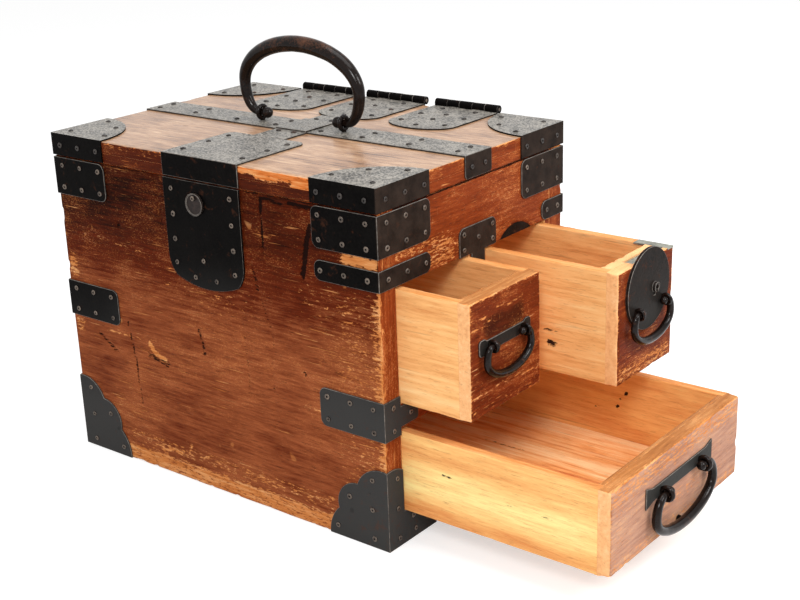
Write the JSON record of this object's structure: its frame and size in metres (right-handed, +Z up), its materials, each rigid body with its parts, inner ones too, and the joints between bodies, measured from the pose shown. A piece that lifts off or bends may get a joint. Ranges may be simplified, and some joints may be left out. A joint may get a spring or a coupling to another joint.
{
  "type": "travel chest",
  "caption": "Iron-bound wooden travel chest with a hinged lid, an arched carrying handle, and drawers that pull out of one end on bail pulls.",
  "frame": {"origin": "centre of the case's underside, on the surface that the chest stands on", "axes": "+X along the front towards the end that the drawers come out of, +Y from the front to the hinged back, +Z up"},
  "size_m": [0.6235, 0.2942, 0.4153],
  "materials": {
    "case_wood": "worn red-brown lacquer over wood",
    "rail_wood": "worn red-brown lacquer over wood",
    "raw_wood": "bare planed wood",
    "lid_wood": "worn and faded wood",
    "drawer_front_wood": "worn red-brown lacquer",
    "drawer_box_wood": "bare planed wood",
    "forged_iron": "forged, dark and rubbed smooth",
    "nail_iron": "forged heads, rubbed",
    "sheet_iron": "blackened sheet iron",
    "lock_steel": "dull grey"
  },
  "bodies": {
    "case": {"front_board": "case_wood", "back_board": "case_wood", "left_end_board": "case_wood", "top_rail": "rail_wood", "middle_rail": "rail_wood", "bottom_rail": "rail_wood", "bottom_board": "raw_wood", "shelf_board": "raw_wood", "tray_floor": "raw_wood", "partition_board": "raw_wood", "drawer_guides": "raw_wood", "strike_plate": "sheet_iron", "upper_corner_irons": "sheet_iron", "narrow_corner_irons": "sheet_iron", "middle_corner_irons": "sheet_iron", "bottom_corner_irons": "sheet_iron", "lock_tongue_plate": "sheet_iron", "lid_lock_case": "lock_steel", "partition_iron": "sheet_iron", "case_hinge_leaves": "sheet_iron", "hinge_pins": "forged_iron", "case_nails": "nail_iron"},
    "lid": {"lid_panel": "lid_wood", "lid_front_rim": "lid_wood", "lid_rims": "lid_wood", "lid_corner_irons": "sheet_iron", "cross_strap": "sheet_iron", "centre_strap": "sheet_iron", "lid_lock_plate": "sheet_iron", "lid_hinge_leaves": "sheet_iron", "lid_staple": "forged_iron", "handle_eyes": "forged_iron", "lid_nails": "nail_iron"},
    "lid_handle": {"lid_handle": "forged_iron"},
    "keyhole_cover": {"keyhole_cover": "sheet_iron"},
    "lid_lock_bolt": {"lid_lock_bolt": "lock_steel"},
    "small_drawer": {"small_drawer_front": "drawer_front_wood", "small_drawer_sides": "drawer_box_wood", "small_drawer_back": "drawer_box_wood", "small_drawer_bottom": "drawer_box_wood", "small_drawer_pull_plate": "sheet_iron", "small_drawer_eyes": "forged_iron"},
    "small_drawer_bail": {"small_drawer_bail": "forged_iron"},
    "lock_drawer": {"lock_drawer_front": "drawer_front_wood", "lock_drawer_sides": "drawer_box_wood", "lock_drawer_back": "drawer_box_wood", "lock_drawer_bottom": "drawer_box_wood", "lock_drawer_round_plate": "sheet_iron", "lock_drawer_lock_case": "lock_steel", "lock_drawer_eyes": "forged_iron"},
    "lock_drawer_bail": {"lock_drawer_bail": "forged_iron"},
    "lock_drawer_bolt": {"lock_drawer_bolt": "lock_steel"},
    "wide_drawer": {"wide_drawer_front": "drawer_front_wood", "wide_drawer_sides": "drawer_box_wood", "wide_drawer_back": "drawer_box_wood", "wide_drawer_bottom": "drawer_box_wood", "wide_drawer_pull_plate": "sheet_iron", "wide_drawer_eyes": "forged_iron", "wide_drawer_stop_nail": "forged_iron"},
    "wide_drawer_bail": {"wide_drawer_bail": "forged_iron"}
  },
  "joints": [
    {"name": "lid_hinge", "type": "hinge", "parent": "case", "child": "lid", "pos_m": [0, 0.144, 0.332], "axis": [-1, 0, 0], "range_deg": [0, 100]},
    {"name": "lid_handle_swing", "type": "hinge", "parent": "lid", "child": "lid_handle", "pos_m": [-0.004, 0.002, 0.33758], "axis": [1, 0, 0], "range_deg": [-85, 85]},
    {"name": "keyhole_cover_swing", "type": "hinge", "parent": "case", "child": "keyhole_cover", "pos_m": [-0.007, -0.1436, 0.292], "axis": [0, 1, 0], "range_deg": [-90, 90]},
    {"name": "lid_lock_bolt_slide", "type": "slide", "parent": "case", "child": "lid_lock_bolt", "axis": [1, 0, 0], "range_m": [0, 0.008]},
    {"name": "small_drawer_slide", "type": "slide", "parent": "case", "child": "small_drawer", "axis": [1, 0, 0], "range_m": [-0.074, 0.226]},
    {"name": "small_drawer_bail_swing", "type": "hinge", "parent": "small_drawer", "child": "small_drawer_bail", "pos_m": [0.28018, -0.069, 0.1953], "axis": [0, -1, 0], "range_deg": [-3, 110]},
    {"name": "lock_drawer_slide", "type": "slide", "parent": "case", "child": "lock_drawer", "axis": [1, 0, 0], "range_m": [-0.136, 0.164]},
    {"name": "lock_drawer_bail_swing", "type": "hinge", "parent": "lock_drawer", "child": "lock_drawer_bail", "pos_m": [0.34368, 0.061, 0.1953], "axis": [0, -1, 0], "range_deg": [0, 110]},
    {"name": "lock_drawer_bolt_slide", "type": "slide", "parent": "lock_drawer", "child": "lock_drawer_bolt", "axis": [0, 0, 1], "range_m": [0, 0.006]},
    {"name": "wide_drawer_slide", "type": "slide", "parent": "case", "child": "wide_drawer", "axis": [1, 0, 0], "range_m": [-0.206, 0.094]},
    {"name": "wide_drawer_bail_swing", "type": "hinge", "parent": "wide_drawer", "child": "wide_drawer_bail", "pos_m": [0.41328, -0.004, 0.0758], "axis": [0, -1, 0], "range_deg": [0, 110]}
  ]
}
